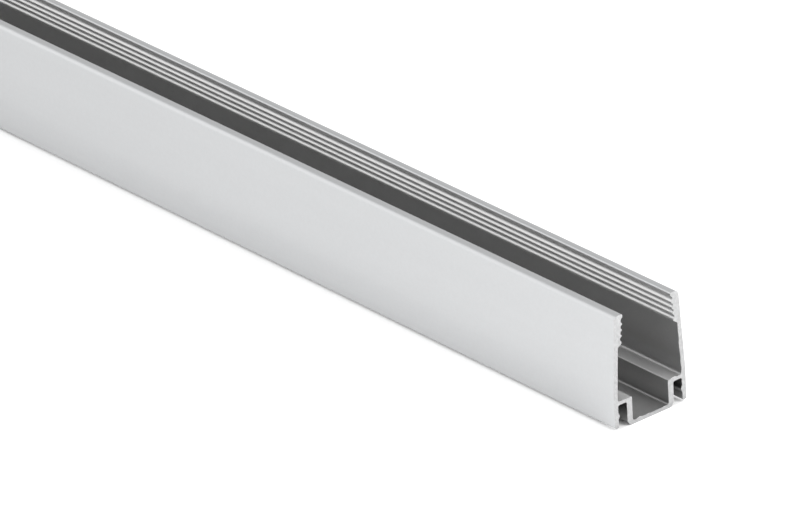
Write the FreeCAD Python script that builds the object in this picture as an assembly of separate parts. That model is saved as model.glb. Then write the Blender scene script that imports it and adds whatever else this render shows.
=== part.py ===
import FreeCAD, Part
import math
import os
from collections import namedtuple

# Aluminium LED profile: one bar of extruded stock with a constant section.
# Millimetres, X along the bar, Y across it, Z up. The origin is the middle of the underside,
# and the section is the same on both sides of the XZ plane.

# Bar
length = 500.0
overall_height = 21.45

# Trough that seats the LED strip
strip_width = 8.0
strip_clearance = 0.2
trough_depth = 4.6
floor_thickness = 0.7
trough_wall_thickness = 1.15
trough_corner_radius = 1.25
trough_fillet_radius = 0.45
trough_lip_radius = 0.2

# Shelves beside the trough, and under each a slot for mounting clips, open downwards
shelf_thickness = 0.62
shelf_fillet_radius = 0.6
slot_width = 2.0
slot_fillet_radius = 0.4
nib_above_underside = 2.6
nib_reach = 0.3
nib_half_height = 0.7
nib_radius = 0.4

# Side walls: upright beside the slots, then leaning towards each other up to the jaw
wall_thickness = 0.85
skirt_lift = 0.4
skirt_inner_radius = 0.2
skirt_outer_radius = 0.4
bend_above_shelf = 1.2
bend_radius = 20.0

# Serrated jaw at the top of the walls: rounded teeth with a round groove above each
jaw_gap = 10.8
jaw_thickness = 1.85
jaw_flare = 1.8
land_radius = 1.2
lip_height = 0.68
lip_radius = 0.35
tooth_count = 4
first_tooth_below_top = 1.88
tooth_pitch = 1.1
tooth_width = 0.36
last_tooth_width = 0.64
tooth_relief = 0.31
foot_angle = 58.0
foot_radius = 0.3

# No rounding takes more than this share of the straight beside it
rounding_share = 0.48

# Half widths and heights that follow from the sizes above
trough_half = (strip_width + strip_clearance) / 2
trough_outer_half = trough_half + trough_wall_thickness
skirt_inner_half = trough_outer_half + slot_width
skirt_outer_half = skirt_inner_half + wall_thickness
jaw_half = jaw_gap / 2
top_half = jaw_half + jaw_thickness
shelf_top = floor_thickness + trough_depth
slot_top = shelf_top - shelf_thickness
bend_height = shelf_top + bend_above_shelf
wall_lean = math.atan((skirt_outer_half - top_half) / (overall_height - bend_height))
tooth_slope = tooth_relief / tooth_pitch

# A corner of the outline, the radius that rounds it, and how far the edge that leaves it
# bows into the metal. The outline runs with the metal on its left.
Corner = namedtuple("Corner", "place radius bow", defaults=(0, 0))


def point(y, z):
    return FreeCAD.Vector(0, y, z)


def heading(angle):
    """Unit direction that leaves straight down by this angle, turned outwards."""
    return point(math.sin(angle), -math.cos(angle))


def into_metal(direction):
    """Unit direction to the left of an edge, where the metal lies."""
    return point(-direction.z, direction.y)


def crossing(start, direction, other_start, other_direction):
    """Point where two lines in the plane of the section cross."""
    gap = other_start - start
    side = direction.y * other_direction.z - direction.z * other_direction.y
    reach = (gap.y * other_direction.z - gap.z * other_direction.y) / side
    return start + direction * reach


def trough_and_slot_corners():
    """From the underside out to the foot of the side wall."""
    nib = point(skirt_inner_half - nib_reach, nib_above_underside)
    nib_top = point(skirt_inner_half, nib_above_underside + nib_half_height)
    nib_bottom = point(skirt_inner_half, nib_above_underside - nib_half_height)
    return [
        Corner(point(trough_outer_half, 0), trough_corner_radius),
        Corner(point(trough_outer_half, slot_top), slot_fillet_radius),
        Corner(point(skirt_inner_half, slot_top), slot_fillet_radius),
        Corner(nib_top, nib_radius),
        Corner(nib, nib_radius),
        Corner(nib_bottom, nib_radius),
        Corner(point(skirt_inner_half, skirt_lift), skirt_inner_radius),
        Corner(point(skirt_outer_half, skirt_lift), skirt_outer_radius),
    ]


def jaw_corners():
    """From the top edge over the lip and down the grooves and teeth.

    The crests lie on a line that leans more than the wall, so that the jaw opens downwards.
    A groove's arc and a tooth's arc have the same slope where they meet, so each one's bow
    is its width times tooth_slope.
    """
    top = point(jaw_half, overall_height)
    down = heading(wall_lean + math.radians(jaw_flare))
    widths = [tooth_width] * (tooth_count - 1) + [last_tooth_width]
    corners = [Corner(top, lip_radius)]
    groove_start = lip_height
    place = top + down * groove_start
    for index, width in enumerate(widths):
        tooth_start = first_tooth_below_top + index * tooth_pitch - tooth_width / 2
        tooth_bow = width * tooth_slope
        groove_bow = (tooth_start - groove_start) * tooth_slope
        corners.append(Corner(place, bow=groove_bow))
        place = top + down * tooth_start + into_metal(down) * tooth_bow
        corners.append(Corner(place, bow=-tooth_bow))
        groove_start = tooth_start + width
        place = top + down * groove_start + into_metal(down) * tooth_bow
    corners.append(Corner(place))
    return corners


def wall_corners():
    """From the bend outside, over the jaw, and down the inside to the trough floor."""
    down = heading(wall_lean)
    outer_top = point(top_half, overall_height)
    inner_line = outer_top - into_metal(down) * wall_thickness
    jaw = jaw_corners()
    foot = crossing(jaw[-1].place, heading(math.radians(foot_angle)), inner_line, down)
    shelf_corner = point(skirt_inner_half, shelf_top)
    inner_bend = crossing(shelf_corner, point(0, 1), inner_line, down)
    return [
        Corner(point(skirt_outer_half, bend_height), bend_radius),
        Corner(outer_top, land_radius),
        *jaw,
        Corner(foot, foot_radius),
        Corner(inner_bend, bend_radius),
        Corner(shelf_corner, shelf_fillet_radius),
        Corner(point(trough_half, shelf_top), trough_lip_radius),
        Corner(point(trough_half, floor_thickness), trough_fillet_radius),
    ]


def mirrored(corners):
    """The same corners on the other side of the bar, in the order that closes the outline."""
    flipped = []
    bow_of_edge = 0
    for corner in corners:
        place = point(-corner.place.y, corner.place.z)
        flipped.append(Corner(place, corner.radius, bow_of_edge))
        bow_of_edge = corner.bow
    return flipped[::-1]


def rounding(before, corner, after):
    """Start, middle and end of the arc that rounds one corner, all in one place where it is sharp."""
    if not corner.radius:
        return corner.place, corner.place, corner.place
    back = before.place - corner.place
    ahead = after.place - corner.place
    half_angle = back.getAngle(ahead) / 2
    longest = rounding_share * min(back.Length, ahead.Length)
    reach = min(corner.radius / math.tan(half_angle), longest)
    back.normalize()
    ahead.normalize()
    inwards = back + ahead
    inwards.normalize()
    middle_distance = reach / math.cos(half_angle) - reach * math.tan(half_angle)
    middle = corner.place + inwards * middle_distance
    return corner.place + back * reach, middle, corner.place + ahead * reach


def edge_between(start, end, bow):
    """A straight edge, or an arc that bows into the metal by this much."""
    if not bow:
        return Part.LineSegment(start, end).toShape()
    along = end - start
    along.normalize()
    middle = (start + end) / 2 + into_metal(along) * bow
    return Part.Arc(start, middle, end).toShape()


def section_wire():
    """Closed outline of the section, with the second half mirrored from the first."""
    half = trough_and_slot_corners() + wall_corners()
    corners = half + mirrored(half)
    roundings = []
    for index, corner in enumerate(corners):
        after = corners[(index + 1) % len(corners)]
        roundings.append(rounding(corners[index - 1], corner, after))
    edges = []
    for index, (start, middle, end) in enumerate(roundings):
        edges.append(edge_between(roundings[index - 1][2], start, corners[index - 1].bow))
        if corners[index].radius:
            edges.append(Part.Arc(start, middle, end).toShape())
    return Part.Wire(edges)


def led_profile():
    """The bar: the section carried straight along its length."""
    bar = Part.Face(section_wire()).extrude(FreeCAD.Vector(length, 0, 0))
    bar.translate(FreeCAD.Vector(-length / 2, 0, 0))
    return bar


os.makedirs("parts", exist_ok=True)
led_profile().exportStep("parts/led_profile.step")
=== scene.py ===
import math
from collections import namedtuple
from itertools import accumulate

import bpy
import numpy as np
from mathutils import Matrix, Vector


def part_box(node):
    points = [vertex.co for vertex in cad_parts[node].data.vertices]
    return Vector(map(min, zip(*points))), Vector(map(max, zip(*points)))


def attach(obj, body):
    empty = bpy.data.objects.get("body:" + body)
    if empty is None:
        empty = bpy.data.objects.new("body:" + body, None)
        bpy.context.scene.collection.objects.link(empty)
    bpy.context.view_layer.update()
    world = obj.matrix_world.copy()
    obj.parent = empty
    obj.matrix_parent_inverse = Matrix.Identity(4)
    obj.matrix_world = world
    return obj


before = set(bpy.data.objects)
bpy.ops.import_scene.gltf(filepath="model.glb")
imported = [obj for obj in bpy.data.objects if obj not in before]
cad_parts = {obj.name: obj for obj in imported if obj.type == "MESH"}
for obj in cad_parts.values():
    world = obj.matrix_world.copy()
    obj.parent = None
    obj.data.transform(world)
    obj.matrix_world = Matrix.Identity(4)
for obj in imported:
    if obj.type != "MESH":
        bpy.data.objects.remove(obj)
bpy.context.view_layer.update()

# An aluminium LED profile: one bar of extruded, satin anodised stock, sawn square at both ends.
# Metres, X along the bar, Y across it, Z up. The bar itself is the CAD node, which keeps its
# shape and gets its finish here. The only new pieces are the burrs that the saw left.

PROFILE = "led_profile"
MM = 0.001

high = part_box(PROFILE)[1]
BAR_END = high.x
BAR_HALF_WIDTH = high.y
BAR_HEIGHT = high.z

# A level that runs from one value to another while what it follows goes from start to stop
Fade = namedtuple("Fade", "start stop at_start at_stop", defaults=(0.0, 1.0))

# How much a pattern adds to a surface's tone, its roughness and its relief
Amounts = namedtuple("Amounts", "tone roughness relief", defaults=(0.0, 0.0, 0.0))

# The section's own measures that the finish follows
LAND_DEPTH = 0.25 * MM
JAW_FOOT = 15.9 * MM
BEND_HEIGHT = 6.5 * MM
WALL_LEAN = math.radians(3.25)
MIDDLE_OF_WALL = 0.42 * MM
FILLET_TOP = 5.9 * MM
SHELF_TOP = 5.3 * MM
SHELF_CORNER = 7.25 * MM
SLOT_SIDE = 5.2 * MM
TROUGH_LIP = 4.1 * MM
TROUGH_FLOOR = 0.7 * MM

# How far the finish of a cut end, and of a shelf's top, reaches from its plane
CUT_MARGIN = 0.02 * MM
SHELF_MARGIN = 0.03 * MM

# Painted shade and light of the inside, where the outer faces have 1: the channel's shade and the light it
# catches are painted into the colour. They change up the walls, across the shelves from lip to wall, and
# out of the trough's corners, along its floor and up its sides.
TOOTH_PAINTED_LIGHT = 1.2
WALL_PAINTED_SHADE_AND_LIGHT = Fade(start=5.0 * MM, stop=12.8 * MM, at_start=0.59, at_stop=1.1)
FILLET_PAINTED_SHADE = 0.76
SHELF_PAINTED_LIGHT_AND_SHADE = Fade(start=TROUGH_LIP, stop=SHELF_CORNER, at_start=1.12, at_stop=0.8)
TROUGH_PAINTED_SHADE = Fade(start=0.0, stop=2.2 * MM, at_start=0.65, at_stop=0.89)
SLOT_PAINTED_SHADE = 0.5

# Painted shade at the foot of a cut end: it is a little darker across the floor of the section, next to
# the studio floor
LOW_END_PAINTED_SHADE = Fade(start=TROUGH_FLOOR, stop=1.2 * MM, at_start=0.9, at_stop=1.0)

# Greys at full tone, and how much bluer than neutral the outer faces and the cut ends are
SIDE_GREY = 0.7
OUTER_COOLNESS = 0.012
END_GREY = 0.55
END_COOLNESS = 0.004
BURR_GREY = 0.6
FLOOR_GREY = 0.88

# Roughnesses, and the floor's gloss
OUTER_ROUGHNESS = 0.4
SHELF_ROUGHNESS = 0.55
TOOTH_ROUGHNESS = 0.48
END_ROUGHNESS = 0.46
BURR_ROUGHNESS = 0.42
FLOOR_ROUGHNESS = 0.9
FLOOR_GLOSS = 0.1

# Patterns of noise, by how many features there are to the metre: along X, Y and Z, or every way
DIE_LINES = (6.0, 2600.0, 2600.0)
CLOUDS = (12.0, 160.0, 160.0)
MOTTLE = 1500.0
GRAIN = 9000.0
TORN_METAL = 8000.0

# The saw marks are arcs about the blade's centre: features to the metre across them and along X
SAW_ARCS = 5200.0
SAW_ARCS_ALONG_BAR = 40.0
BLADE_CENTRE = (BAR_END, 0.115, 0.09)

# The even tone of each surface, and what the patterns add to it. A relief of 1 stands this high.
SIDE_TONE = 0.692
SIDE_DIE_LINES = Amounts(tone=0.025, roughness=0.04, relief=1.2)
SIDE_CLOUDS = Amounts(tone=0.03)
SIDE_MOTTLE = Amounts(tone=0.05, relief=3.0)
SIDE_GRAIN = Amounts(tone=0.03, roughness=0.03, relief=1.0)
END_TONE = 0.32
END_SAW_ARCS = Amounts(tone=0.36, relief=5.0)
END_MOTTLE = Amounts(tone=0.55, roughness=0.12, relief=5.0)
END_CLOUDS = Amounts(tone=0.12)
BURR_TONE = 0.7
BURR_TORN_METAL = Amounts(tone=0.4, roughness=0.2, relief=6.0)
RELIEF_HEIGHT = 0.001 * MM

# The photograph's frame and the camera fitted to the cut end and the long edges in it
PHOTO_WIDTH = 800
PHOTO_HEIGHT = 518
SENSOR_WIDTH_MM = 36.0
FOCAL_PIXELS = 8608.0
PIXELS_PER_METRE = 5880.0
CAMERA_AZIMUTH = math.radians(51.364)
CAMERA_ELEVATION = math.radians(26.269)
CAMERA_ROLL = math.radians(-3.293)
END_FOOT_PIXEL = (650.634, 415.512)
NEAREST_SEEN = 0.01
FARTHEST_SEEN = 100.0

# How exactly the CAD mesh's corners are compared: metres from the cut, and decimals of a place
CUT_TOLERANCE = 1e-6
PLACE_DECIMALS = 7

# The lip of metal that the saw left round a cut end, in even steps round its outline. It has a
# share of this height everywhere, and up to the whole height more where the surface faces the
# way the saw leaves.
BURR_STEP = 0.05 * MM
BURR_HEIGHT = 0.05 * MM
BURR_SHARE_EVERYWHERE = 0.2
SAW_LEAVES_TOWARDS = (-0.6, 0.8)

# It fills at most a share of the room out to the bar's outermost faces, and is sunk a little, so
# that it stays in the metal where it is low. Where its outward direction has less than this part
# along an axis, the room is worked out as if it had this much.
BURR_SHARE_OF_ROOM = 0.8
BURR_SUNK = 0.004 * MM
LEAST_OUTWARD = 0.01

# Waves break it up: how many of each there are round the outline, their height, and the power
# that makes the crests sharper
BURR_WAVES = (31, 67, 139, 271)
BURR_WAVE_HEIGHT = 0.5
BURR_CREST_POWER = 1.5
BURR_SEED = 11

# Where the saw tore longer tongues: the middle of each on the section, its half length and height.
# A tongue is a bell of this power, and a share of it is ragged.
BURR_TONGUES = (
    ((5.45 * MM, 5.3 * MM), 0.55 * MM, 0.26 * MM),
    ((-2.5 * MM, 0.7 * MM), 0.5 * MM, 0.16 * MM),
    ((6.95 * MM, 11.0 * MM), 0.9 * MM, 0.12 * MM),
    ((7.2 * MM, 7.6 * MM), 0.6 * MM, 0.08 * MM),
)
TONGUE_POWER = 4
TONGUE_RAGGED_SHARE = 0.25

# The lip's own section, from its root over its tip to its tail: how far each point lies back from
# the cut, the share of the lip's height that it stands out, and how deep it is set in the metal
BURR_SECTION = (
    (0.03 * MM, 0.0, 0.03 * MM),
    (0.002 * MM, 0.2, 0.0),
    (0.008 * MM, 1.0, 0.0),
    (0.08 * MM, 0.4, 0.0),
    (0.16 * MM, 0.0, 0.01 * MM),
)

# The studio: a pale floor with a little light of its own, a large soft key light above and beyond
# the near end, and a room whose far side is bright over the front wall and dull over the back wall
FLOOR_HALF_WIDTH = 30.0
FLOOR_SQUARES = 8
FLOOR_GAP = 0.02 * MM
FLOOR_GLOW = 0.18
KEY_TOWARDS = (0.6, 0.25, 0.71)
KEY_DISTANCE = 0.42
KEY_WIDTH = 0.3
KEY_WATTS = 1.45
ROOM_NEAR = 1.08
ROOM_BRIGHT = 1.55
ROOM_DULL = 0.82

# Seen along the bar, the far side is dull from +Y over the top up to this angle, and bright beyond
# it. The dull part fades in over the sine of the angle that is left, and the near side over X.
DULL_UP_TO = math.radians(108)
DULL_FADE = Fade(start=-0.1, stop=0.15)
NEAR_FADE = Fade(start=-0.3, stop=0.3)


# Shader maths

class Value:
    """An output of a shader node that takes part in sums: each sum adds the Math node it needs."""

    def __init__(self, tree, socket):
        self.tree = tree
        self.socket = socket

    def maths(self, operation, *others):
        return self.tree.add("ShaderNodeMath", {"operation": operation}, (self, *others))

    def __add__(self, other):
        return self.maths("ADD", other)

    def __sub__(self, other):
        return self.maths("SUBTRACT", other)

    def __rsub__(self, other):
        return self.tree.add("ShaderNodeMath", {"operation": "SUBTRACT"}, (other, self))

    def __mul__(self, other):
        return self.maths("MULTIPLY", other)

    def __gt__(self, other):
        return self.maths("GREATER_THAN", other)

    def __lt__(self, other):
        return self.maths("LESS_THAN", other)

    def __abs__(self):
        return self.maths("ABSOLUTE")

    __radd__ = __add__
    __rmul__ = __mul__


class ShaderTree:
    """The nodes of one material, or of the world."""

    def __init__(self, owner):
        owner.use_nodes = True
        self.nodes = owner.node_tree.nodes
        self.links = owner.node_tree.links
        self.nodes.clear()

    def add(self, kind, settings=None, sockets=(), output=0):
        """Adds a node, settings first and then sockets, by name or in order, and gives one output."""
        node = self.nodes.new(kind)
        for name, setting in (settings or {}).items():
            setattr(node, name, setting)
        pairs = sockets.items() if isinstance(sockets, dict) else enumerate(sockets)
        for name, given in pairs:
            if isinstance(given, Value):
                self.links.new(given.socket, node.inputs[name])
            else:
                node.inputs[name].default_value = given
        return Value(self, node.outputs[output]) if node.outputs else node

    def place(self):
        """The place on the object, which rests at the frame's origin."""
        return self.add("ShaderNodeTexCoord", output="Object")

    def split(self, vector):
        """A vector's X, Y and Z."""
        return [self.add("ShaderNodeSeparateXYZ", sockets=(vector,), output=axis) for axis in "XYZ"]

    def mix(self, factor, first, second):
        """The first colour where the factor is 0, and the second where it is 1."""
        sockets = {"Factor": factor, 6: first, 7: second}
        return self.add("ShaderNodeMix", {"data_type": "RGBA"}, sockets, 2)

    def fade(self, value, steps, smooth=False):
        """What a Fade gives for this value, in a straight line or easing in and out."""
        settings = {"interpolation_type": "SMOOTHSTEP" if smooth else "LINEAR"}
        return self.add("ShaderNodeMapRange", settings, (value, *steps))

    def noise(self, place, scale, detail, roughness=0.5):
        """Noise of this scale at a place."""
        sockets = {"Vector": place, "Scale": scale, "Detail": detail, "Roughness": roughness}
        return self.add("ShaderNodeTexNoise", sockets=sockets)

    def stretched_noise(self, place, scales, detail, roughness=0.5):
        """Noise with a scale of its own along each axis."""
        stretched = self.add("ShaderNodeVectorMath", {"operation": "MULTIPLY"}, (place, scales))
        return self.noise(stretched, 1.0, detail, roughness)

    def bump(self, relief):
        """The normal of a surface with this relief."""
        sockets = {"Strength": 1.0, "Distance": RELIEF_HEIGHT, "Height": relief}
        return self.add("ShaderNodeBump", sockets=sockets)

    def surface(self, sockets):
        """Adds the material's shader, with these sockets, and its output."""
        shader = self.add("ShaderNodeBsdfPrincipled", sockets=sockets)
        self.add("ShaderNodeOutputMaterial", sockets={"Surface": shader})


def where(mask, there, elsewhere):
    """One value where the mask is 1, and another where it is 0."""
    return elsewhere + mask * (there - elsewhere)


def blank_material(name):
    """A new material, and its empty tree."""
    material = bpy.data.materials.new(name)
    return material, ShaderTree(material)


def grey(level, coolness=0.0):
    """A grey, with a little more blue than red where its coolness is above 0."""
    return (level * (1 - coolness), level, level * (1 + coolness), 1.0)


# Finishes

def inside_of_section(tree, y, z):
    """Masks of the section's inside, its shelves and its teeth, and a tone of painted shade and light,
    which is 1 outside.

    The inside lies within the middle of the walls, which lean above the bend, and below the
    lands. Painted shade darkens the walls downwards, the shelves towards the walls and the trough towards
    its corners, and painted light brightens the teeth, the tops of the walls and the shelves' lips. The
    slots, further out below the shelves, get the darkest painted shade.
    """
    above_bend = (z - BEND_HEIGHT).maths("MAXIMUM", 0.0)
    across = abs(y) + above_bend * math.tan(WALL_LEAN)
    inside = (across < BAR_HALF_WIDTH - MIDDLE_OF_WALL) * (z < BAR_HEIGHT - LAND_DEPTH)
    on_shelf = inside * (abs(z - SHELF_TOP) < SHELF_MARGIN)
    below_shelf = z < SHELF_TOP - SHELF_MARGIN
    in_slot = below_shelf * (abs(y) > SLOT_SIDE)
    on_teeth = inside * (z > JAW_FOOT)

    from_corner = (TROUGH_LIP - abs(y)) + (z - TROUGH_FLOOR)
    # Painted shade and light: darker down the walls, in the fillets, towards the trough's corners and in
    # the slots, brighter on the teeth, the tops of the walls and the shelves' lips
    tone = where(z < FILLET_TOP, FILLET_PAINTED_SHADE, tree.fade(z, WALL_PAINTED_SHADE_AND_LIGHT, smooth=True))
    tone = where(on_shelf, tree.fade(abs(y), SHELF_PAINTED_LIGHT_AND_SHADE), tone)
    tone = where(below_shelf, tree.fade(from_corner, TROUGH_PAINTED_SHADE), tone)
    tone = where(in_slot, SLOT_PAINTED_SHADE, tone)
    tone = where(on_teeth, TOOTH_PAINTED_LIGHT, tone)
    return inside, on_shelf, on_teeth, where(inside, tone, 1.0)


def satin_anodised_aluminium():
    """Natural anodised aluminium with die lines along the bar, the saw's marks on the bare ends, and
    painted shade and light inside the channel and at the foot of the ends.
    """
    material, tree = blank_material("satin_anodised_aluminium")
    place = tree.place()
    x, y, z = tree.split(place)
    on_cut = abs(x) > BAR_END - CUT_MARGIN
    inside, on_shelf, on_teeth, inner_painted_light_and_shade = inside_of_section(tree, y, z)

    die_lines = tree.stretched_noise(place, DIE_LINES, detail=4.0, roughness=0.6)
    clouds = tree.stretched_noise(place, CLOUDS, detail=2.0)
    mottle = tree.noise(place, MOTTLE, detail=3.0, roughness=0.6)
    grain = tree.noise(place, GRAIN, detail=2.0)
    blade = tree.add("ShaderNodeVectorMath", {"operation": "DISTANCE"}, (place, BLADE_CENTRE), "Value")
    arc_sockets = (blade * SAW_ARCS, x * SAW_ARCS_ALONG_BAR, 0.0)
    arc_place = tree.add("ShaderNodeCombineXYZ", sockets=arc_sockets)
    saw_arcs = tree.noise(arc_place, 1.0, detail=3.0, roughness=0.7)

    side_tone = (
        SIDE_TONE
        + die_lines * SIDE_DIE_LINES.tone
        + clouds * SIDE_CLOUDS.tone
        + mottle * SIDE_MOTTLE.tone
        + grain * SIDE_GRAIN.tone
    )
    side_grey = tree.mix(inside, grey(SIDE_GREY, OUTER_COOLNESS), grey(SIDE_GREY))
    # The inside's painted shade and light darken and brighten the side colour here
    side_colour = tree.mix(side_tone * inner_painted_light_and_shade, grey(0.0), side_grey)
    end_tone = (
        END_TONE
        + saw_arcs * END_SAW_ARCS.tone
        + mottle * END_MOTTLE.tone
        + clouds * END_CLOUDS.tone
    )
    # Painted shade along the foot of the cut end
    low_end_painted_shade = tree.fade(z, LOW_END_PAINTED_SHADE)
    end_colour = tree.mix(end_tone * low_end_painted_shade, grey(0.0), grey(END_GREY, END_COOLNESS))

    side_roughness = (
        OUTER_ROUGHNESS
        + on_shelf * (SHELF_ROUGHNESS - OUTER_ROUGHNESS)
        + on_teeth * (TOOTH_ROUGHNESS - OUTER_ROUGHNESS)
        + die_lines * SIDE_DIE_LINES.roughness
        + grain * SIDE_GRAIN.roughness
    )
    end_roughness = END_ROUGHNESS + mottle * END_MOTTLE.roughness

    side_relief = (
        die_lines * SIDE_DIE_LINES.relief
        + mottle * SIDE_MOTTLE.relief
        + grain * SIDE_GRAIN.relief
    )
    end_relief = saw_arcs * END_SAW_ARCS.relief + mottle * END_MOTTLE.relief

    tree.surface({
        "Base Color": tree.mix(on_cut, side_colour, end_colour),
        "Metallic": 1.0,
        "Roughness": where(on_cut, end_roughness, side_roughness),
        "Normal": tree.bump(where(on_cut, end_relief, side_relief)),
    })
    return material


def bare_sawn_aluminium():
    """The bright torn metal of the burrs."""
    material, tree = blank_material("bare_sawn_aluminium")
    torn = tree.noise(tree.place(), TORN_METAL, detail=3.0)
    tone = BURR_TONE + torn * BURR_TORN_METAL.tone
    tree.surface({
        "Base Color": tree.mix(tone, grey(0.0), grey(BURR_GREY)),
        "Metallic": 1.0,
        "Roughness": BURR_ROUGHNESS + torn * BURR_TORN_METAL.roughness,
        "Normal": tree.bump(torn * BURR_TORN_METAL.relief),
    })
    return material


def pale_floor_finish():
    """A plain pale light table: it has a little light of its own, except right under the bar."""
    material, tree = blank_material("pale_floor_finish")
    x, y, _ = tree.split(tree.place())
    under_bar = (abs(x) < BAR_END) * (abs(y) < SHELF_CORNER)
    tree.surface({
        "Base Color": grey(FLOOR_GREY),
        "Roughness": FLOOR_ROUGHNESS,
        "Specular IOR Level": FLOOR_GLOSS,
        "Emission Color": tree.mix(under_bar, grey(1.0), grey(0.0)),
        "Emission Strength": FLOOR_GLOW,
    })
    return material


# Meshes

def surface_mesh(name, points, material, closed=False):
    """A grid of points, rows by columns by xyz, as one mesh whose faces join neighbours.

    Where it is closed, the last row joins the first, and the last column the first.
    """
    rows, columns = points.shape[:2]
    index = np.arange(rows * columns).reshape(rows, columns)
    if closed:
        index = np.pad(index, (0, 1), "wrap")
    faces = np.stack((index[:-1, :-1], index[1:, :-1], index[1:, 1:], index[:-1, 1:]), -1)
    mesh = bpy.data.meshes.new(name)
    mesh.from_pydata(points.reshape(-1, 3), (), faces.reshape(-1, 4).tolist())
    mesh.polygons.foreach_set("use_smooth", np.ones(len(mesh.polygons), bool))
    mesh.materials.append(material)
    thing = bpy.data.objects.new(name, mesh)
    bpy.context.scene.collection.objects.link(thing)
    return thing


def cut_outline(node):
    """The outline of the sawn end at +X, as rows of (y, z), anticlockwise as seen from +X.

    The end's triangles are those whose corners all lie at the highest X. An edge that only
    one of them has is on the outline, and each such edge leads on to the next.
    """
    mesh = node.data
    places = np.empty(len(mesh.vertices) * 3)
    mesh.vertices.foreach_get("co", places)
    places = places.reshape(-1, 3)
    corners = np.empty(len(mesh.polygons) * 3, int)
    mesh.polygons.foreach_get("vertices", corners)
    triangles = corners.reshape(-1, 3)
    on_cut = np.isclose(places[triangles, 0], BAR_END, atol=CUT_TOLERANCE).all(1)
    points, merged = np.unique(np.round(places[:, 1:], PLACE_DECIMALS), axis=0, return_inverse=True)
    triangles = merged.reshape(-1)[triangles[on_cut]]
    edges = np.concatenate((triangles[:, (0, 1)], triangles[:, (1, 2)], triangles[:, (2, 0)]))
    forwards = edges @ (len(points), 1)
    backwards = edges @ (1, len(points))
    border = edges[~np.isin(forwards, backwards)]
    following = dict(border.tolist())
    order = list(accumulate(range(len(border) - 1), lambda at, _: following[at], initial=border[0, 0]))
    return points[order]


# The burrs

def stations_round(outline):
    """Points at even steps round an outline, each one's share of the way round, and its way outwards.

    Outwards is at right angles to the line from the point before to the point after.
    """
    closed = np.vstack((outline, outline[:1]))
    run = np.concatenate(((0.0,), np.cumsum(np.linalg.norm(np.diff(closed, axis=0), axis=1))))
    stations = np.linspace(0, run[-1], int(run[-1] / BURR_STEP), endpoint=False)
    line = np.stack([np.interp(stations, run, closed[:, axis]) for axis in (0, 1)], 1)
    ahead = np.roll(line, -1, 0) - np.roll(line, 1, 0)
    outward = np.stack((ahead[:, 1], -ahead[:, 0]), 1)
    outward /= np.linalg.norm(outward, axis=1, keepdims=True)
    return line, stations / run[-1], outward


def room_outwards(line, outward):
    """How far each station is from the bar's outermost faces, going outwards.

    The gap to the nearer side, and the gap to the top or the underside that the station faces,
    are each divided by the outward direction's part along that axis. The smaller one counts.
    """
    gap_across = BAR_HALF_WIDTH - np.abs(line[:, 0])
    gap_up = np.where(outward[:, 1] > 0, BAR_HEIGHT - line[:, 1], line[:, 1])
    gaps = np.stack((gap_across, gap_up), 1)
    return np.min(gaps / np.maximum(np.abs(outward), LEAST_OUTWARD), axis=1)


def burr_heights(line, share_round, outward):
    """How high the lip stands at each station.

    The height grows with how squarely the surface faces the way the saw leaves. It is
    multiplied by the crests, to a power, of a sum of waves of random phase. Each torn tongue
    adds a flat-topped bell by distance from its middle. The result keeps to a share of the
    room outwards, and is sunk a little.
    """
    facing = np.clip(outward @ SAW_LEAVES_TOWARDS, 0, 1)
    chance = np.random.default_rng(BURR_SEED)
    around = share_round * 2 * math.pi
    waves = np.zeros(len(line))
    for waves_around in BURR_WAVES:
        waves += np.sin(around * waves_around + chance.uniform(0, 2 * math.pi)) * BURR_WAVE_HEIGHT
    ragged = np.maximum(waves, 0) ** BURR_CREST_POWER
    height = BURR_HEIGHT * (BURR_SHARE_EVERYWHERE + facing) * ragged
    tongue_share = 1 - TONGUE_RAGGED_SHARE + TONGUE_RAGGED_SHARE * ragged
    for middle, half_length, tongue_height in BURR_TONGUES:
        distance = np.linalg.norm(line - middle, axis=1)
        height += tongue_height * np.exp(-((distance / half_length) ** TONGUE_POWER)) * tongue_share
    return np.minimum(height, room_outwards(line, outward) * BURR_SHARE_OF_ROOM) - BURR_SUNK


def saw_burr(name, outline, end, material):
    """The thin ragged lip of metal that the saw left along one cut end.

    At each station round the outline, the lip's section is a closed loop of points in the
    plane of X and the outward direction. A point lies back from the cut by its own distance,
    and out by its share of the lip's height, less how deep it is set in the metal.
    """
    line, share_round, outward = stations_round(outline)
    height = burr_heights(line, share_round, outward)
    back, share, depth = np.transpose(BURR_SECTION)
    out = height[:, None] * share - depth
    side = math.copysign(1, end)
    points = np.empty((*out.shape, 3))
    points[..., 0] = end - side * back
    points[..., 1:] = line[:, None] + outward[:, None] * out[..., None]
    # The far end's section is mirrored, so its stations run the other way to keep its faces outwards
    if side < 0:
        points = points[::-1]
    return surface_mesh(name, points, material, closed=True)


# The studio

def studio_floor(material):
    """A square level floor just under the bar: even steps along X by even steps along Y."""
    steps = np.linspace(-FLOOR_HALF_WIDTH, FLOOR_HALF_WIDTH, FLOOR_SQUARES + 1)
    x, y = np.meshgrid(steps, steps, indexing="ij")
    points = np.stack((x, y, np.full_like(x, -FLOOR_GAP)), -1)
    return surface_mesh("studio_floor", points, material)


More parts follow.
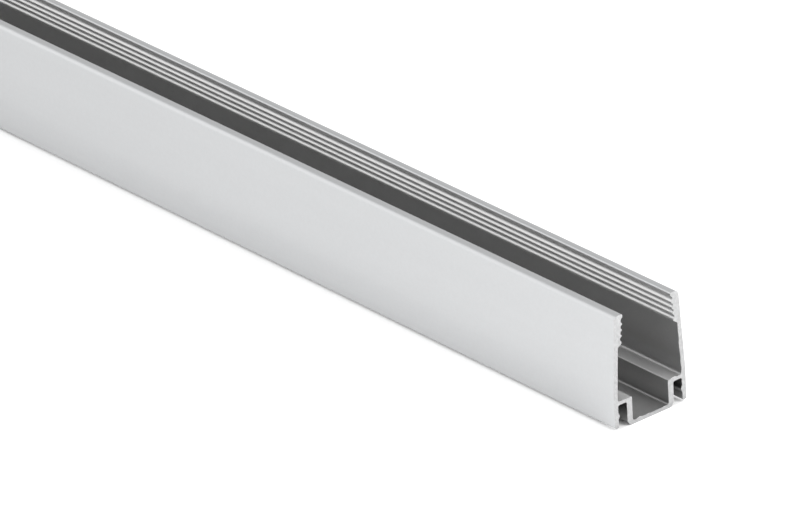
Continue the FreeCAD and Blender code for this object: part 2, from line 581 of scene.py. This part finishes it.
def add_camera():
    """The photograph's camera, placed so that the foot of the near end falls on its pixel."""
    cos_azimuth = math.cos(CAMERA_AZIMUTH)
    sin_azimuth = math.sin(CAMERA_AZIMUTH)
    cos_elevation = math.cos(CAMERA_ELEVATION)
    back = Vector((sin_azimuth * cos_elevation, -cos_azimuth * cos_elevation, math.sin(CAMERA_ELEVATION)))
    level = Vector((cos_azimuth, sin_azimuth, 0))
    upright = back.cross(level)
    right = level * math.cos(CAMERA_ROLL) + upright * math.sin(CAMERA_ROLL)
    up = upright * math.cos(CAMERA_ROLL) - level * math.sin(CAMERA_ROLL)
    pixels_right = END_FOOT_PIXEL[0] - (PHOTO_WIDTH - 1) / 2
    pixels_down = END_FOOT_PIXEL[1] - (PHOTO_HEIGHT - 1) / 2
    end_foot = Vector((BAR_END, 0, 0))
    place = end_foot + (back * FOCAL_PIXELS - right * pixels_right + up * pixels_down) / PIXELS_PER_METRE
    camera = bpy.data.cameras.new("camera")
    camera.sensor_fit = "HORIZONTAL"
    camera.sensor_width = SENSOR_WIDTH_MM
    camera.lens = FOCAL_PIXELS * SENSOR_WIDTH_MM / PHOTO_WIDTH
    camera.clip_start = NEAREST_SEEN
    camera.clip_end = FARTHEST_SEEN
    holder = bpy.data.objects.new("camera", camera)
    holder.matrix_world = Matrix.Translation(place) @ Matrix((right, up, back)).transposed().to_4x4()
    bpy.context.scene.collection.objects.link(holder)
    bpy.context.scene.camera = holder


def add_key_light():
    """A large soft disc of light that shines on the near end from above and beyond it."""
    lamp = bpy.data.lights.new("key_light", "AREA")
    lamp.shape = "DISK"
    lamp.size = KEY_WIDTH
    lamp.energy = KEY_WATTS
    holder = bpy.data.objects.new("key_light", lamp)
    towards = Vector(KEY_TOWARDS).normalized()
    holder.location = Vector((BAR_END, 0, 0)) + towards * KEY_DISTANCE
    holder.rotation_euler = towards.to_track_quat("Z", "Y").to_euler()
    holder.visible_camera = False
    bpy.context.scene.collection.objects.link(holder)


def add_room_light():
    """The room: three tones that pass softly into each other, by direction from the bar."""
    world = bpy.data.worlds.new("studio_room")
    bpy.context.scene.world = world
    tree = ShaderTree(world)
    direction = tree.add("ShaderNodeTexCoord", output="Generated")
    dull_side = (0.0, math.sin(DULL_UP_TO), -math.cos(DULL_UP_TO))
    depth = tree.add("ShaderNodeVectorMath", {"operation": "DOT_PRODUCT"}, (direction, dull_side), "Value")
    along_bar = tree.split(direction)[0]
    dull = tree.fade(depth, DULL_FADE, smooth=True)
    near = tree.fade(along_bar, NEAR_FADE, smooth=True)
    strength = where(near, ROOM_NEAR, where(dull, ROOM_DULL, ROOM_BRIGHT))
    background = tree.add("ShaderNodeBackground", sockets={"Color": grey(1.0), "Strength": strength})
    tree.add("ShaderNodeOutputWorld", sockets={"Surface": background})


add_camera()

aluminium = satin_anodised_aluminium()
sawn = bare_sawn_aluminium()

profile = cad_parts[PROFILE]
profile.material_slots[0].material = aluminium

outline = cut_outline(profile)
for burr_name, end in (("saw_burr_near_end", BAR_END), ("saw_burr_far_end", -BAR_END)):
    burr = saw_burr(burr_name, outline, end, sawn)
    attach(burr, "root")

floor = studio_floor(pale_floor_finish())

add_key_light()
add_room_light()
bpy.context.scene.view_settings.view_transform = "Standard"
